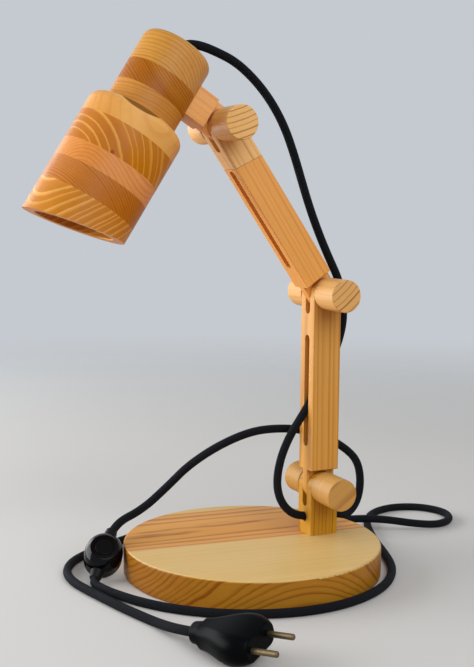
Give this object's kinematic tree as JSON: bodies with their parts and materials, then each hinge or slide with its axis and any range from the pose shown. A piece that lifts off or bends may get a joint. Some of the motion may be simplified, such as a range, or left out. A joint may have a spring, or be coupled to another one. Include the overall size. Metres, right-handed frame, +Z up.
{
  "type": "table lamp",
  "caption": "Wooden desk lamp: round base, slotted forked arms on clamp-knob joints, turned laminated head tilting on a bracket, textile cord with inline push switch and two-pin plug.",
  "frame": {"origin": "centre of the base disc's underside", "axes": "+Z up, the head points towards -X, the joints' rods run along Y and the front knobs are on the -Y side"},
  "size_m": [0.4088, 0.3172, 0.4055],
  "materials": {
    "base_pine": "satin",
    "arm_pine": "satin",
    "knob_wood": "satin",
    "head_light": "satin",
    "head_dark": "satin",
    "steel": "satin",
    "brass": "satin",
    "holder_white": "gloss",
    "opal": "satin",
    "cord_black": "woven",
    "switch_black": "gloss",
    "plug_black": "satin",
    "carrier_plastic": "matte",
    "pin_nickel": "polished"
  },
  "bodies": {
    "base": {"base_disc": "base_pine", "post": "arm_pine", "post_screws": "steel", "base_rod": "steel", "base_rear_knob": "knob_wood", "cord_rise": "cord_black", "cord_floor": "cord_black", "switch_back": "switch_black", "switch_front": "switch_black", "switch_carrier": "carrier_plastic", "switch_terminals": "brass", "switch_spring": "steel", "switch_reliefs": "plug_black", "plug_body": "plug_black", "plug_collar": "plug_black", "plug_pins": "pin_nickel"},
    "base_knob": {"base_front_knob": "knob_wood", "base_insert": "brass"},
    "lower_arm": {"lower_arm": "arm_pine", "elbow_rod": "steel", "elbow_rear_knob": "knob_wood", "cord_loop": "cord_black"},
    "elbow_knob": {"elbow_front_knob": "knob_wood", "elbow_insert": "brass"},
    "upper_arm": {"upper_arm": "arm_pine", "head_rod": "steel", "head_rear_knob": "knob_wood", "cord_elbow": "cord_black"},
    "head_knob": {"head_front_knob": "knob_wood", "head_insert": "brass"},
    "head": {"head_bracket": "arm_pine", "neck_cap": "head_light", "neck_upper": "head_dark", "neck_lower": "head_light", "shade_top": "head_light", "shade_upper": "head_dark", "shade_middle": "head_light", "shade_lower": "head_dark", "shade_rim": "head_light", "cord_grip": "plug_black", "holder_nipple": "brass", "nipple_nut": "brass", "holder_cap": "holder_white", "holder_socket": "holder_white", "holder_contact": "brass", "bulb_cap": "steel", "bulb_housing": "holder_white", "bulb_globe": "opal", "cord_head": "cord_black"},
    "button": {"switch_button": "switch_black"}
  },
  "joints": [
    {"name": "base_tilt", "type": "hinge", "parent": "base", "child": "lower_arm", "pos_m": [0.058, 0, 0.061], "axis": [0, -1, 0], "range_deg": [-40, 25], "deforming": ["cord_loop", "cord_elbow", "cord_rise"]},
    {"name": "elbow_bend", "type": "hinge", "parent": "lower_arm", "child": "upper_arm", "pos_m": [0.058, 0, 0.2145], "axis": [0, -1, 0], "range_deg": [-60, 30], "deforming": ["cord_elbow", "cord_head"]},
    {"name": "head_tilt", "type": "hinge", "parent": "upper_arm", "child": "head", "pos_m": [-0.03004, 0, 0.34024], "axis": [0, -1, 0], "range_deg": [-60, 40], "deforming": ["cord_head"]},
    {"name": "base_clamp", "type": "hinge", "parent": "base", "child": "base_knob", "pos_m": [0.058, 0, 0.061], "axis": [0, -1, 0], "range_deg": [-180, 180]},
    {"name": "elbow_clamp", "type": "hinge", "parent": "lower_arm", "child": "elbow_knob", "pos_m": [0.058, 0, 0.2145], "axis": [0, -1, 0], "range_deg": [-180, 180]},
    {"name": "head_clamp", "type": "hinge", "parent": "upper_arm", "child": "head_knob", "pos_m": [-0.03004, 0, 0.34024], "axis": [0, -1, 0], "range_deg": [-180, 180]},
    {"name": "switch_press", "type": "slide", "parent": "base", "child": "button", "axis": [0.13, 0.6309, -0.7649], "range_m": [0, 0.0025], "stiffness_N_per_m": 800, "springref_m": -0.0008, "deforming": ["switch_spring"]}
  ]
}
